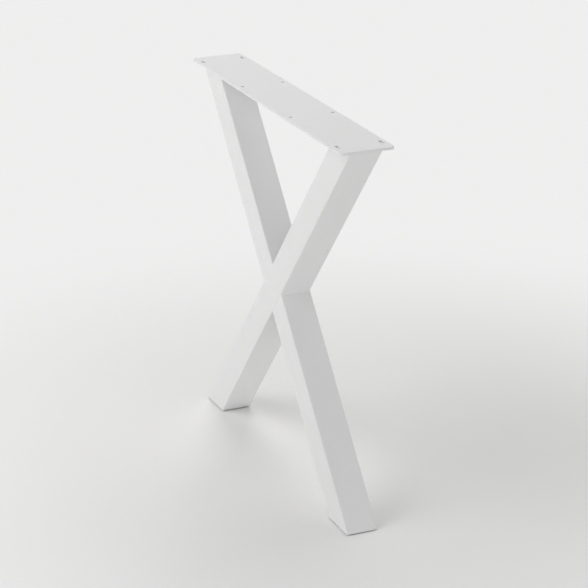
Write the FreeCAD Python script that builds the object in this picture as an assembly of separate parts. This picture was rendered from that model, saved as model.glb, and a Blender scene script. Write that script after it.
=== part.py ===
# X-shaped table leg: two square steel tubes crossing in one plane, welded under a screw-on top plate.
# One tube runs through. The other is cut in two, and each half is coped round the through tube, so that the
# faces of the X are flush. The feet are closed by plates and stand on push-in glides.
# Frame: +Z up, the X lies in the XZ plane, and the origin is on the floor under the crossing.
import FreeCAD
import Part
import math
import os

Vector = FreeCAD.Vector

# Driving dimensions, in millimetres
leg_width = 670.0  # across the two arms, at the floor cut and at the plate
leg_height = 710.0  # floor to the top face of the plate

tube_side = 60.0  # square tube, outside
tube_wall = 2.0
tube_corner_radius = 3.0  # outside
lower_seam_width = 2.0  # hairline on the faces of the X, between the lower half's lip and the through tube
upper_seam_width = 0.5  # the same at the upper half, whose lip is dressed nearly flush

plate_thickness = 5.0
plate_flange = 20.0  # reach of the plate past the tube's faces, where the screws go
plate_end_overhang = 5.0  # reach of the plate past the ends of the arms
plate_corner_radius = 8.0
plate_edge_round = 0.8
screw_hole_diameter = 7.0
slot_length = 16.0  # end to end, so that a wide wooden top can move
slot_end_margin = 35.0  # plate end to slot centre
middle_hole_spacing = 220.0

plate_weld_leg = 4.0
crossing_weld_leg = 2.0
weld_crown = 0.3  # rise of a bead's round face above the straight line between its toes

foot_plate_thickness = 4.0
glide_thickness = 2.0
glide_inset = 5.0  # glide edge to the tube's face
glide_edge_chamfer = 0.6
stem_diameter = 9.8
stem_clearance = 0.1  # radial, in the foot plate's hole
barb_overlap = 0.8  # radial reach of the barb past the hole
barb_play = 0.2  # above the foot plate
barb_height = 3.0
stem_tip_height = 4.0  # above the barb
stem_tip_diameter = 6.0

# Places that follow from the driving dimensions
tube_bottom = glide_thickness
tube_top = leg_height - plate_thickness
tube_rise = tube_top - tube_bottom
crossing_height = (tube_bottom + tube_top) / 2
diagonal = math.hypot(leg_width, tube_rise)
lean = math.acos(tube_side / diagonal) - math.atan2(tube_rise, leg_width)  # from the vertical
arm_offset = tube_rise / 2 * math.tan(lean)  # arm centre from the middle, at the plate and at the floor cut
mouth_width = tube_side / math.cos(lean)  # of a tube's horizontal cut, along X

plate_length = leg_width + 2 * plate_end_overhang
plate_depth = tube_side + 2 * plate_flange
screw_row = (tube_side + plate_flange) / 2  # each row of holes runs down the middle of its flange
slot_offset = plate_length / 2 - slot_end_margin

glide_diameter = tube_side - 2 * glide_inset
foot_hole_diameter = stem_diameter + 2 * stem_clearance

up = Vector(0, 0, 1)
crossing = Vector(0, 0, crossing_height)
through_axis = Vector(math.sin(lean), 0, math.cos(lean))  # leans towards +X as it rises
half_axis = Vector(-math.sin(lean), 0, math.cos(lean))


def upright_edges(block):
    return [edge for edge in block.Edges if abs(edge.Vertexes[0].Z - edge.Vertexes[-1].Z) > 1e-6]


def level_edges(shape, height):
    return [edge for edge in shape.Edges if all(abs(v.Z - height) < 1e-6 for v in edge.Vertexes)]


def centred_block(width, depth, height):
    return Part.makeBox(width, depth, height, Vector(-width / 2, -depth / 2, -height / 2))


def leaning(shape, axis):
    """Turns a shape built along Z at the origin onto a tube's axis through the crossing."""
    placed = shape.copy()
    placed.Placement = FreeCAD.Placement(crossing, FreeCAD.Rotation(up, axis))
    return placed


def tube_bar(axis, inset):
    """A solid bar on a tube's axis, its faces set in from the tube's outside by inset."""
    side = tube_side - 2 * inset
    block = centred_block(side, side, 2 * diagonal)
    return leaning(block.makeFillet(tube_corner_radius - inset, upright_edges(block)), axis)


def slab(low, high):
    """Everything between two heights."""
    return Part.makeBox(2 * diagonal, diagonal, high - low, Vector(-diagonal, -diagonal / 2, low))


def cut_tube(axis):
    """A hollow tube along an axis, cut level at the floor and under the plate."""
    return tube_bar(axis, 0).cut(tube_bar(axis, tube_wall)).common(slab(tube_bottom, tube_top))


def half_tubes():
    """The crossing tube's lower and upper halves, coped to lie flush round the through tube."""
    lower_lip = tube_corner_radius - lower_seam_width
    upper_lip = tube_corner_radius - upper_seam_width
    core_width = tube_side - lower_lip - upper_lip
    core_corner = Vector(upper_lip - tube_side / 2, -tube_side, -diagonal)
    core = Part.makeBox(core_width, 2 * tube_side, 2 * diagonal, core_corner)
    coped = cut_tube(half_axis).cut(leaning(core, through_axis)).cut(tube_bar(through_axis, 0))
    return sorted(coped.Solids, key=lambda solid: solid.CenterOfMass.z)


def weld_bead(start, end, along_a, along_b, leg):
    """A fillet bead with a round face, in the corner from start to end, with a leg on each wall."""
    toe_a = start + along_a * leg
    toe_b = start + along_b * leg
    outward = (along_a + along_b).normalize()
    crown = (toe_a + toe_b) / 2 + outward * weld_crown
    face_line = Part.Arc(toe_a, crown, toe_b).toShape()
    section = Part.Wire([Part.makeLine(start, toe_a), face_line, Part.makeLine(toe_b, start)])
    return Part.Face(section).extrude(end - start)


def crossing_welds():
    """Beads in the four inside corners of the X, along the flats of the tubes."""
    flat = Vector(0, tube_side / 2 - tube_corner_radius, 0)
    half_height = tube_side / 2 / math.sin(lean)
    half_width = tube_side / 2 / math.cos(lean)
    corners = [
        (Vector(0, 0, half_height), through_axis, half_axis),
        (Vector(0, 0, -half_height), -through_axis, -half_axis),
        (Vector(-half_width, 0, 0), -through_axis, half_axis),
        (Vector(half_width, 0, 0), through_axis, -half_axis),
    ]
    beads = []
    for offset, along_through, along_half in corners:
        corner = crossing + offset
        beads.append(weld_bead(corner - flat, corner + flat, along_through, along_half, crossing_weld_leg))
    return Part.makeCompound(beads)


def plate_welds():
    """Beads on the four flats of each arm, where its top meets the plate."""
    flat_x = Vector(mouth_width / 2 - tube_corner_radius / math.cos(lean), 0, 0)
    flat_y = Vector(0, tube_side / 2 - tube_corner_radius, 0)
    beads = []
    for axis in (through_axis, half_axis):
        middle = Vector(math.copysign(arm_offset, axis.x), 0, tube_top)
        for sign in (-1, 1):
            side_y = Vector(0, sign, 0)
            seam_y = middle + side_y * (tube_side / 2)
            beads.append(weld_bead(seam_y - flat_x, seam_y + flat_x, -axis, side_y, plate_weld_leg))
            side_x = Vector(sign, 0, 0)
            seam_x = middle + side_x * (mouth_width / 2)
            beads.append(weld_bead(seam_x - flat_y, seam_x + flat_y, -axis, side_x, plate_weld_leg))
    return Part.makeCompound(beads)


def screw_hole(x, y):
    """A cutter for a round hole through the plate."""
    base = Vector(x, y, tube_top - plate_thickness / 2)
    return Part.makeCylinder(screw_hole_diameter / 2, 2 * plate_thickness, base)


def screw_slot(x, y):
    """A cutter for a slot through the plate, with round ends, that runs along X."""
    radius = screw_hole_diameter / 2
    reach = slot_length / 2 - radius
    bridge = centred_block(2 * reach, screw_hole_diameter, 2 * plate_thickness)
    bridge.translate(Vector(x, y, tube_top + plate_thickness / 2))
    return bridge.fuse([screw_hole(x - reach, y), screw_hole(x + reach, y)]).removeSplitter()


def top_plate():
    """The flat bar across the arms, with slots near its ends and round holes near its middle."""
    block = centred_block(plate_length, plate_depth, plate_thickness)
    block.translate(Vector(0, 0, tube_top + plate_thickness / 2))
    plate = block.makeFillet(plate_corner_radius, upright_edges(block))
    rims = level_edges(plate, tube_top) + level_edges(plate, leg_height)
    plate = plate.makeFillet(plate_edge_round, rims)
    holes = []
    for sign_x in (-1, 1):
        for sign_y in (-1, 1):
            y = sign_y * screw_row
            holes.append(screw_slot(sign_x * slot_offset, y))
            holes.append(screw_hole(sign_x * middle_hole_spacing / 2, y))
    return plate.cut(holes)


def foot_plate(axis):
    """The plate welded into a tube's mouth, flush with the floor cut, with the hole for the glide's stem."""
    level = slab(tube_bottom, tube_bottom + foot_plate_thickness)
    blank = tube_bar(axis, tube_wall).common(level)
    hole = Part.makeCylinder(foot_hole_diameter / 2, 2 * foot_plate_thickness)
    hole.translate(Vector(-math.copysign(arm_offset, axis.x), 0, tube_bottom - foot_plate_thickness / 2))
    return blank.cut(hole)


def glide(axis):
    """A turned glide: a flat disc under the foot, and a barbed stem snapped through the foot plate."""
    plate_top = tube_bottom + foot_plate_thickness
    barb_base = plate_top + barb_play
    barb_top = barb_base + barb_height
    rim = glide_diameter / 2
    stem = stem_diameter / 2
    barb = foot_hole_diameter / 2 + barb_overlap
    tip = stem_tip_diameter / 2
    outline = [
        Vector(0, 0, 0),
        Vector(rim - glide_edge_chamfer, 0, 0),
        Vector(rim, 0, glide_edge_chamfer),
        Vector(rim, 0, glide_thickness),
        Vector(stem, 0, glide_thickness),
        Vector(stem, 0, barb_base),
        Vector(barb, 0, barb_base),
        Vector(tip, 0, barb_top),
        Vector(tip, 0, barb_top + stem_tip_height),
        Vector(0, 0, barb_top + stem_tip_height),
        Vector(0, 0, 0),
    ]
    turned = Part.Face(Part.makePolygon(outline)).revolve(Vector(0, 0, 0), up, 360)
    turned.translate(Vector(-math.copysign(arm_offset, axis.x), 0, 0))
    return turned


def build():
    lower_half, upper_half = half_tubes()
    return {
        "through_tube": cut_tube(through_axis),
        "upper_half_tube": upper_half,
        "lower_half_tube": lower_half,
        "crossing_welds": crossing_welds(),
        "plate_welds": plate_welds(),
        "top_plate": top_plate(),
        "left_foot_plate": foot_plate(through_axis),
        "right_foot_plate": foot_plate(half_axis),
        "left_glide": glide(through_axis),
        "right_glide": glide(half_axis),
    }


def main():
    os.makedirs("parts", exist_ok=True)
    print(f"lean {math.degrees(lean):.2f} degrees, arms {arm_offset:.1f} mm from the middle")
    for name, shape in build().items():
        shape.exportStep(os.path.join("parts", name + ".step"))
        box = shape.BoundBox
        size = f"{box.XLength:.1f} x {box.YLength:.1f} x {box.ZLength:.1f} mm"
        print(f"{name}: {size}, {shape.Volume / 1000:.1f} cm3")


main()
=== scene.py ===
import bpy
import bmesh
import math
from mathutils import Matrix, Vector


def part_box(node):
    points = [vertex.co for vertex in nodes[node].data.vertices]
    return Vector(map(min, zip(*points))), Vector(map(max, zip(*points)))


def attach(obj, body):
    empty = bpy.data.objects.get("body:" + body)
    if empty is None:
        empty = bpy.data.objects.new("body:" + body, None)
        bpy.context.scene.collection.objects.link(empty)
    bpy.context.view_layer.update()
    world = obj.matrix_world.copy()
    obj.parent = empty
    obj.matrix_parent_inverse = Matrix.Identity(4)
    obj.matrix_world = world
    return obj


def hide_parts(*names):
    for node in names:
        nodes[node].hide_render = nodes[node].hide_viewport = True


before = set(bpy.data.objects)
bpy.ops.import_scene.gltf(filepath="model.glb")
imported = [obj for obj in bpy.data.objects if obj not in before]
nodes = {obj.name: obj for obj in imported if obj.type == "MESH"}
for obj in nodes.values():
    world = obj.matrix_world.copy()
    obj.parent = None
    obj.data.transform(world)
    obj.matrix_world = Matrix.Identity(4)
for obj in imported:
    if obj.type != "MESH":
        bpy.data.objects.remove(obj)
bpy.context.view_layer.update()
scene = bpy.context.scene
scene.view_settings.view_transform = "Standard"
print("leg frame loaded with", len(nodes), "pieces")


# small helpers for node trees

def addNode(tree, kind, x, y, **settings):
    node = tree.nodes.new(kind)
    node.location = (x, y)
    for key, value in settings.items():
        setattr(node, key, value)
    return node


def feed(socket, value):
    # another node's output is linked, and a plain value is set on the socket itself
    if isinstance(value, bpy.types.NodeSocket):
        socket.id_data.links.new(value, socket)
    else:
        socket.default_value = value


def setInputs(node, **values):
    for key, value in values.items():
        feed(node.inputs[key.replace("_", " ")], value)
    return node


def setInOrder(node, *values):
    for socket, value in zip(node.inputs, values):
        feed(socket, value)
    return node


def addMath(tree, operation, x, y, *values, **settings):
    node = addNode(tree, "ShaderNodeMath", x, y, operation=operation, **settings)
    return setInOrder(node, *values).outputs[0]


def mixShaders(tree, x, y, share, first, second):
    node = addNode(tree, "ShaderNodeMixShader", x, y)
    return setInOrder(node, share, first, second).outputs[0]


def newGroup(name, inputs, outputs):
    tree = bpy.data.node_groups.new(name, "ShaderNodeTree")
    for label, kind, value in inputs:
        socket = tree.interface.new_socket(label, in_out="INPUT", socket_type=kind)
        socket.default_value = value
    for label, kind in outputs:
        tree.interface.new_socket(label, in_out="OUTPUT", socket_type=kind)
    given = addNode(tree, "NodeGroupInput", -900, 0).outputs
    out = addNode(tree, "NodeGroupOutput", 700, 0)
    return tree, given, out


def newMaterial(name):
    material = bpy.data.materials.new(name)
    material.use_nodes = True
    tree = material.node_tree
    tree.nodes.clear()
    out = addNode(tree, "ShaderNodeOutputMaterial", 700, 0)
    return material, tree, out


# coat skin: the soft waves and fine grain of a cured coat, with a faint drift of tone over the metal and
# painted shade in the grain's hollows

def makeCoatSkin():
    tree, given, out = newGroup(
        "coatSkin",
        [
            ("Colour", "NodeSocketColor", (0.8, 0.8, 0.8, 1)),
            ("Tone Drift", "NodeSocketFloat", 0.02),
            ("Grain Tone", "NodeSocketFloat", 0.05),
            ("Wave Scale", "NodeSocketFloat", 420.0),
            ("Grain Scale", "NodeSocketFloat", 2100.0),
            ("Grain Share", "NodeSocketFloat", 0.35),
            ("Roughness", "NodeSocketFloat", 0.45),
            ("Roughness Drift", "NodeSocketFloat", 0.08),
        ],
        [("Colour", "NodeSocketColor"), ("Roughness", "NodeSocketFloat"), ("Height", "NodeSocketFloat")],
    )
    place = addNode(tree, "ShaderNodeTexCoord", -900, 300).outputs["Object"]
    wave = addNode(tree, "ShaderNodeTexNoise", -600, 300)
    setInputs(wave, Vector=place, Scale=given["Wave Scale"], Detail=2.0, Roughness=0.5)
    grain = addNode(tree, "ShaderNodeTexNoise", -600, 50)
    setInputs(grain, Vector=place, Scale=given["Grain Scale"], Detail=3.0, Roughness=0.6)
    cloud = addNode(tree, "ShaderNodeTexNoise", -600, -200)
    setInputs(cloud, Vector=place, Scale=5.0, Detail=4.0, Roughness=0.55)

    mixed = addNode(tree, "ShaderNodeMix", -300, 200, data_type="FLOAT")
    setInputs(mixed, Factor=given["Grain Share"], A=wave.outputs["Fac"], B=grain.outputs["Fac"])
    height = mixed.outputs["Result"]

    # tone: 1 plus or minus the drift, and painted shade in the grain: a touch paler on its peaks and
    # darker in its hollows
    noiseMiddle = 0.5
    drift = addMath(tree, "SUBTRACT", -300, -150, cloud.outputs["Fac"], noiseMiddle)
    tone = addMath(tree, "MULTIPLY_ADD", -100, -150, drift, given["Tone Drift"], 1.0)
    peak = addMath(tree, "SUBTRACT", -100, 50, height, noiseMiddle)
    grained = addMath(tree, "MULTIPLY_ADD", 80, 0, peak, given["Grain Tone"], tone)
    tinted = addNode(tree, "ShaderNodeVectorMath", 260, -100, operation="SCALE")
    setInputs(tinted, Vector=given["Colour"], Scale=grained)

    # roughness follows the cloud and, less strongly, the waves and the grain
    heightWeight = 0.5
    uneven = addMath(tree, "MULTIPLY_ADD", -100, -350, height, heightWeight, drift)
    rough = addMath(tree, "MULTIPLY_ADD", 150, -350, uneven, given["Roughness Drift"], given["Roughness"])
    setInputs(out, Colour=tinted.outputs[0], Roughness=rough, Height=height)
    return tree


# joint shade: painted shade, a thin dark line painted where two faces meet in a narrow groove, darker the
# more the groove closes in around a point

def makeJointShade():
    tree, given, out = newGroup(
        "paintedJointShade",
        [
            ("Colour", "NodeSocketColor", (0.8, 0.8, 0.8, 1)),
            ("Shade Colour", "NodeSocketColor", (0.3, 0.3, 0.3, 1)),
            ("Reach", "NodeSocketFloat", 0.003),
            ("Amount", "NodeSocketFloat", 0.4),
        ],
        [("Colour", "NodeSocketColor")],
    )
    # painted shade: ambient occlusion darkens the colour in grooves and inside corners
    groove = addNode(tree, "ShaderNodeAmbientOcclusion", -600, 200, samples=12)
    setInputs(groove, Distance=given["Reach"])
    closed = addMath(tree, "SUBTRACT", -350, 200, 1.0, groove.outputs["AO"])
    share = addMath(tree, "MULTIPLY", -100, 200, closed, given["Amount"], use_clamp=True)
    blend = addNode(tree, "ShaderNodeMix", 250, 50, data_type="RGBA")
    setInputs(blend, Factor=share, A=given["Colour"], B=given["Shade Colour"])
    setInputs(out, Colour=blend.outputs["Result"])
    return tree


coatSkin = makeCoatSkin()
paintedJointShade = makeJointShade()
print("shared finishes made")


# white coat on the steel, the same coat where it lies over the welds, and the moulded glides

# shade, shadeReach and shadeAmount set the colour, reach and strength of the painted shade in each coat's
# grooves
coats = {
    # grainShade sets the painted shade that darkens the hollows of each coat's grain and lightens its
    # peaks
    "whiteCoat": {
        "colour": (0.80, 0.80, 0.80, 1), "toneDrift": 0.02, "grainShade": 0.08,
        "wave": 620.0, "grain": 2300.0, "grainShare": 0.30, "bump": 0.80, "bumpDistance": 0.00045,
        "roughness": 0.42, "roughnessDrift": 0.12,
        "shade": (0.30, 0.30, 0.30, 1), "shadeReach": 0.003, "shadeAmount": 0.5,
    },
    "weldCoat": {
        "colour": (0.80, 0.80, 0.80, 1), "toneDrift": 0.03, "grainShade": 0.04,
        "wave": 600.0, "grain": 2400.0, "grainShare": 0.25, "bump": 0.15, "bumpDistance": 0.00006,
        "roughness": 0.38, "roughnessDrift": 0.10,
        "shade": (0.30, 0.30, 0.30, 1), "shadeReach": 0.0015, "shadeAmount": 0.25,
    },
    "glidePlastic": {
        "colour": (0.045, 0.045, 0.048, 1), "toneDrift": 0.12, "grainShade": 0.15,
        "wave": 900.0, "grain": 3800.0, "grainShare": 0.60, "bump": 0.40, "bumpDistance": 0.00006,
        "roughness": 0.50, "roughnessDrift": 0.15,
        "shade": (0.02, 0.02, 0.02, 1), "shadeReach": 0.002, "shadeAmount": 0.5,
    },
}


def makeCoat(name):
    look = coats[name]
    material, tree, out = newMaterial(name)
    skin = addNode(tree, "ShaderNodeGroup", -500, 100, node_tree=coatSkin)
    setInputs(
        skin, Colour=look["colour"], Tone_Drift=look["toneDrift"], Grain_Tone=look["grainShade"],
        Wave_Scale=look["wave"], Grain_Scale=look["grain"], Grain_Share=look["grainShare"],
        Roughness=look["roughness"], Roughness_Drift=look["roughnessDrift"],
    )
    # painted shade in the narrow grooves, laid over the coat's colour
    shade = addNode(tree, "ShaderNodeGroup", -200, 200, node_tree=paintedJointShade)
    setInputs(
        shade, Colour=skin.outputs["Colour"], Shade_Colour=look["shade"], Reach=look["shadeReach"],
        Amount=look["shadeAmount"],
    )
    bump = addNode(tree, "ShaderNodeBump", -200, -150)
    setInputs(bump, Strength=look["bump"], Distance=look["bumpDistance"], Height=skin.outputs["Height"])
    shader = addNode(tree, "ShaderNodeBsdfPrincipled", 250, 100)
    setInputs(
        shader, Base_Color=shade.outputs["Colour"], Roughness=skin.outputs["Roughness"],
        Normal=bump.outputs["Normal"],
    )
    setInputs(out, Surface=shader.outputs[0])
    return material


whiteCoat = makeCoat("whiteCoat")
weldCoat = makeCoat("weldCoat")
glidePlastic = makeCoat("glidePlastic")


def dress(piece, material):
    piece.data.materials.clear()
    piece.data.materials.append(material)


def addPiece(name, bm, material):
    mesh = bpy.data.meshes.new(name)
    bm.to_mesh(mesh)
    bm.free()
    piece = bpy.data.objects.new(name, mesh)
    scene.collection.objects.link(piece)
    dress(piece, material)
    return piece


for name, piece in nodes.items():
    dress(piece, glidePlastic if name.endswith("glide") else whiteCoat)
print("steel and glides dressed")


# weld beads: rippled fillets in the corners, in place of the plain beads of the frame

weldBeads = {
    "plate": {
        "leg": 0.004, "crown": 0.0003, "ripplePitch": 0.0023, "rippleDepth": 0.00038, "toeWander": 0.035,
        "endTaper": 0.007,
    },
    "crossing": {
        "leg": 0.002, "crown": 0.0001, "ripplePitch": 0.0018, "rippleDepth": 0.00003, "toeWander": 0.02,
        "endTaper": 0.004,
    },
    "tubeCorner": 0.003,  # radius of the tubes' edges, where a bead stops
    "sink": 0.0003,  # of a bead's root into its corner
    "endShare": 0.15,  # of the full section, at a bead's very ends
    "stepsPerRipple": 7,
    "across": 9,  # points from toe to toe
    "rippleTrail": 0.55,  # of a pitch, from the middle to the toes
    "rippleGain": 2.6,
    "rippleSet": 0.6,  # lets a ripple dip as well as rise
    "wanderWaves": ((350.0, 2.1, 1.0), (930.0, 4.7, 0.6)),  # rate along a bead, shift per bead, weight
}

# the tubes' lean and axes follow from the box of the through tube
tubeLow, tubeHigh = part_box("through_tube")
tubeSide = tubeHigh.y - tubeLow.y
tubeRise = tubeHigh.z - tubeLow.z
legWidth = tubeHigh.x - tubeLow.x
lean = math.acos(tubeSide / math.hypot(legWidth, tubeRise)) - math.atan2(tubeRise, legWidth)
throughAxis = Vector((math.sin(lean), 0, math.cos(lean)))
halfAxis = Vector((-math.sin(lean), 0, math.cos(lean)))
crossing = Vector((0, 0, (tubeLow.z + tubeHigh.z) / 2))


def layBead(bm, start, end, alongA, alongB, look, turn):
    run = end - start
    length = run.length
    pitch = look["ripplePitch"]
    taper = look["endTaper"]
    endShare = weldBeads["endShare"]
    steps = int(length / pitch * weldBeads["stepsPerRipple"])
    outward = (alongA + alongB).normalized()
    rings = []
    for step in range(steps + 1):
        laid = length * step / steps
        toEnd = max(min(laid, length - laid, taper), 0) / taper
        full = endShare + (1 - endShare) * math.sqrt(1 - (1 - toEnd) ** 2)  # round ends
        wander = 0
        for rate, shift, weight in weldBeads["wanderWaves"]:
            wander += weight * math.sin(rate * laid + shift * turn)
        leg = look["leg"] * (1 + look["toeWander"] * wander)
        root = start + run * (step / steps)
        ring = [bm.verts.new(root - outward * weldBeads["sink"])]
        for j in range(weldBeads["across"]):
            share = j / (weldBeads["across"] - 1)
            side = 2 * share - 1  # -1 and 1 at the toes, 0 in the middle
            place = (laid / pitch + weldBeads["rippleTrail"] * side * side) % 1.0
            ripple = math.sqrt(place) * (1 - place) * weldBeads["rippleGain"] - weldBeads["rippleSet"]
            reach = alongA * (leg * (1 - share)) + alongB * (leg * share)
            lift = look["crown"] * (1 - side * side) + look["rippleDepth"] * ripple * (1 - side ** 4)
            ring.append(bm.verts.new(root + (reach + outward * lift) * full))
        rings.append(ring)
    count = len(rings[0])
    for first, second in zip(rings, rings[1:]):
        for j in range(count):
            k = (j + 1) % count
            bm.faces.new((first[j], first[k], second[k], second[j]))
        for toe in (1, count - 1):
            bm.edges.get((first[toe], second[toe])).smooth = False
    for ring in (rings[0], rings[-1]):
        cap = bm.faces.new(ring)
        for edge in cap.edges:
            edge.smooth = False


def weldPiece(name, node, corners, look):
    bm = bmesh.new()
    for turn, (start, end, alongA, alongB) in enumerate(corners):
        layBead(bm, start, end, alongA, alongB, look, turn)
    bmesh.ops.recalc_face_normals(bm, faces=bm.faces)
    piece = addPiece(name, bm, weldCoat)
    piece.data.shade_smooth()
    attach(piece, "root")
    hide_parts(node)


def crossingCorners():
    flat = Vector((0, tubeSide / 2 - weldBeads["tubeCorner"], 0))
    halfHeight = Vector((0, 0, tubeSide / 2 / math.sin(lean)))
    halfWidth = Vector((tubeSide / 2 / math.cos(lean), 0, 0))
    inside = [
        (crossing + halfHeight, throughAxis, halfAxis),
        (crossing - halfHeight, -throughAxis, -halfAxis),
        (crossing - halfWidth, -throughAxis, halfAxis),
        (crossing + halfWidth, throughAxis, -halfAxis),
    ]
    return [(seam - flat, seam + flat, alongA, alongB) for seam, alongA, alongB in inside]


def plateCorners():
    mouth = tubeSide / math.cos(lean)
    flatX = Vector((mouth / 2 - weldBeads["tubeCorner"] / math.cos(lean), 0, 0))
    flatY = Vector((0, tubeSide / 2 - weldBeads["tubeCorner"], 0))
    armOffset = tubeRise / 2 * math.tan(lean)
    corners = []
    for axis in (throughAxis, halfAxis):
        middle = Vector((math.copysign(armOffset, axis.x), 0, tubeHigh.z))
        for sign in (-1, 1):
            sideY = Vector((0, sign, 0))
            seam = middle + sideY * (tubeSide / 2)
            corners.append((seam - flatX, seam + flatX, -axis, sideY))
            sideX = Vector((sign, 0, 0))
            seam = middle + sideX * (mouth / 2)
            corners.append((seam - flatY, seam + flatY, -axis, sideX))
    return corners


weldPiece("crossingWeldRipples", "crossing_welds", crossingCorners(), weldBeads["crossing"])
weldPiece("plateWeldRipples", "plate_welds", plateCorners(), weldBeads["plate"])
print("welds laid")


# floor: a pale seamless sheet that fades into the backdrop away from the leg

floorSheet = {
    "reach": 30.0, "rimSegments": 96, "contactMargin": 0.001, "openingSegments": 48,
    "colour": (0.94, 0.936, 0.93, 1), "patchColour": (0.925, 0.921, 0.915, 1), "patchScale": 3.0,
    "roughness": 0.65, "gloss": 0.2,
    "fadeCentre": (0, 0.1, 0), "fadeStart": 0.3, "fadeEnd": 1.3,
}
backdropColour = (0.86, 0.86, 0.857, 1)


def seenDirectly(tree, x, y):
    # 1 where the eye sees a surface straight, in a reflection or through something clear
    path = addNode(tree, "ShaderNodeLightPath", x, y).outputs
    straight = addMath(tree, "MAXIMUM", x + 200, y, path["Is Camera Ray"], path["Is Glossy Ray"])
    return addMath(tree, "MAXIMUM", x + 400, y, straight, path["Is Transmission Ray"])


def floorMaterial():
    material, tree, out = newMaterial("floorSheet")
    place = addNode(tree, "ShaderNodeTexCoord", -900, 0).outputs["Object"]
    patches = addNode(tree, "ShaderNodeTexNoise", -600, 0)
    setInputs(patches, Vector=place, Scale=floorSheet["patchScale"], Detail=3.0, Roughness=0.5)
    tone = addNode(tree, "ShaderNodeMix", -350, 0, data_type="RGBA")
    setInputs(tone, Factor=patches.outputs["Fac"], A=floorSheet["colour"], B=floorSheet["patchColour"])
    sheet = addNode(tree, "ShaderNodeBsdfPrincipled", -100, 0)
    setInputs(
        sheet, Base_Color=tone.outputs["Result"], Roughness=floorSheet["roughness"],
        Specular_IOR_Level=floorSheet["gloss"],
    )

    # far off the eye sees the backdrop
    away = addNode(tree, "ShaderNodeVectorMath", -600, -350, operation="DISTANCE")
    setInOrder(away, place, floorSheet["fadeCentre"])
    fade = addNode(tree, "ShaderNodeMapRange", -350, -350, interpolation_type="SMOOTHSTEP")
    setInputs(
        fade, Value=away.outputs["Value"], From_Min=floorSheet["fadeStart"], From_Max=floorSheet["fadeEnd"]
    )
    share = addMath(tree, "MULTIPLY", -100, -450, fade.outputs["Result"], seenDirectly(tree, -700, -650))
    backdrop = setInputs(addNode(tree, "ShaderNodeEmission", -100, -250), Color=backdropColour)
    faded = mixShaders(tree, 200, 0, share, sheet.outputs[0], backdrop.outputs[0])

    # clear from below, so that the feet can be looked at from there
    side = addNode(tree, "ShaderNodeNewGeometry", 200, 300)
    clear = addNode(tree, "ShaderNodeBsdfTransparent", 200, -200)
    shown = mixShaders(tree, 450, 0, side.outputs["Backfacing"], faded, clear.outputs[0])
    setInputs(out, Surface=shown)
    return material


def makeFloor():
    bm = bmesh.new()
    bmesh.ops.create_circle(bm, segments=floorSheet["rimSegments"], radius=floorSheet["reach"])
    # open under the glides' own contact faces, so that these show from below
    for name in ("left_glide", "right_glide"):
        low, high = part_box(name)
        middle = Vector(((low.x + high.x) / 2, (low.y + high.y) / 2, 0))
        opening = (high.x - low.x) / 2 - floorSheet["contactMargin"]
        bmesh.ops.create_circle(
            bm, segments=floorSheet["openingSegments"], radius=opening, matrix=Matrix.Translation(middle)
        )
    bmesh.ops.triangle_fill(bm, use_beauty=True, edges=bm.edges, normal=(0, 0, 1))
    floor = addPiece("floorSheet", bm, floorMaterial())


makeFloor()
print("floor laid")


# light: five soft boxes and an even pale room

studio = {
    "room": (0.645, 0.645, 0.645, 1),
    "roomTop": (0.25, 0.25, 0.25, 1),
    "softBoxes": {
        "key": {  # large, above the outer face
            "place": (-0.5, -2.0, 2.0), "aim": (0, 0, 0.5), "size": (2.4, 1.8), "power": 25.0,
            "colour": (1.0, 0.998, 0.995),
        },
        "fill": {  # low, under the key
            "place": (-0.3, -1.7, 0.5), "aim": (0, 0, 0.5), "size": (1.6, 0.36), "power": 2.6,
            "colour": (1.0, 0.998, 0.995),
        },
        "front": {  # near the floor, under the camera
            "place": (3.0, -1.2, 0.15), "aim": (0, 0, 0.2), "size": (1.6, 0.3), "power": 8.5,
            "colour": (1.0, 1.0, 1.0),
        },
        "side": {  # near the floor, to the right of the camera
            "place": (3.6, 1.0, 0.35), "aim": (0, 0, 0.3), "size": (1.8, 0.6), "power": 11.3,
            "colour": (0.985, 0.99, 1.0),
        },
        "back": {  # high, behind the leg
            "place": (-1.5, 1.0, 2.6), "aim": (0, 0, 0.3), "size": (1.8, 1.8), "power": 23.0,
            "colour": (1.0, 0.998, 0.995),
        },
    },
}


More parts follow.
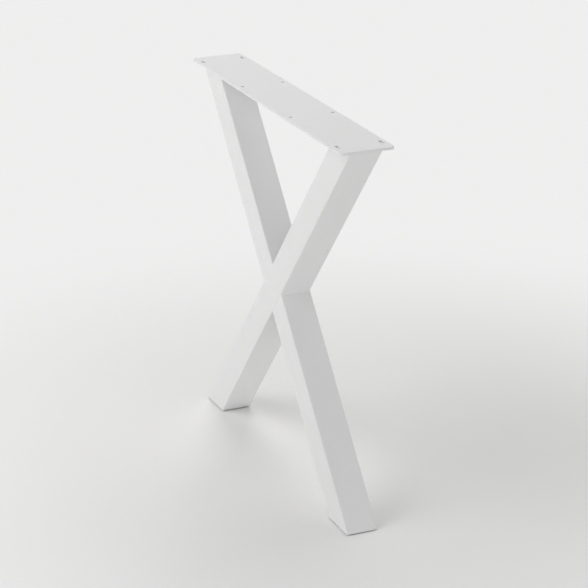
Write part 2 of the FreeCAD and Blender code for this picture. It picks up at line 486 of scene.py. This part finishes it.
def addAimed(name, data, place, aim):
    # a lamp or a camera, turned from its place to its aim
    holder = bpy.data.objects.new(name, data)
    holder.location = place
    holder.rotation_euler = (Vector(aim) - Vector(place)).to_track_quat("-Z", "Y").to_euler()
    scene.collection.objects.link(holder)
    return holder


def addSoftBox(name, box):
    lamp = bpy.data.lights.new(name, "AREA")
    lamp.shape = "RECTANGLE"
    lamp.size, lamp.size_y = box["size"]
    lamp.energy = box["power"]
    lamp.color = box["colour"]
    holder = addAimed(name, lamp, box["place"], box["aim"])
    holder.visible_camera = False


def makeRoom():
    world = bpy.data.worlds.new("studioRoom")
    scene.world = world
    world.use_nodes = True
    tree = world.node_tree
    tree.nodes.clear()
    place = addNode(tree, "ShaderNodeTexCoord", -700, 0)
    split = setInputs(addNode(tree, "ShaderNodeSeparateXYZ", -500, 0), Vector=place.outputs["Generated"])
    rise = addNode(tree, "ShaderNodeMapRange", -300, 0, interpolation_type="SMOOTHSTEP")
    setInputs(rise, Value=split.outputs["Z"])
    tone = addNode(tree, "ShaderNodeMix", -50, 0, data_type="RGBA")
    setInputs(tone, Factor=rise.outputs["Result"], A=studio["room"], B=studio["roomTop"])
    light = setInputs(addNode(tree, "ShaderNodeBackground", 150, 100), Color=tone.outputs["Result"])
    seen = setInputs(addNode(tree, "ShaderNodeBackground", 150, -100), Color=backdropColour)
    pick = mixShaders(tree, 400, 0, seenDirectly(tree, -300, 350), light.outputs[0], seen.outputs[0])
    setInputs(addNode(tree, "ShaderNodeOutputWorld", 600, 0), Surface=pick)


makeRoom()
for name, box in studio["softBoxes"].items():
    addSoftBox(name, box)
print("studio lit")


# camera: the photograph's own place, turned to the middle of the leg

cameraView = {
    "place": (3.3925, -1.4717, 1.7434), "aim": (0.0121, 0.0089, 0.3398),
    "lens": 130.8, "sensorWidth": 36.0, "clipEnd": 200.0,
}


def setCamera():
    camera = bpy.data.cameras.new("legCamera")
    camera.lens = cameraView["lens"]
    camera.sensor_width = cameraView["sensorWidth"]
    camera.clip_end = cameraView["clipEnd"]
    scene.camera = addAimed("legCamera", camera, cameraView["place"], cameraView["aim"])


setCamera()
print("camera set")
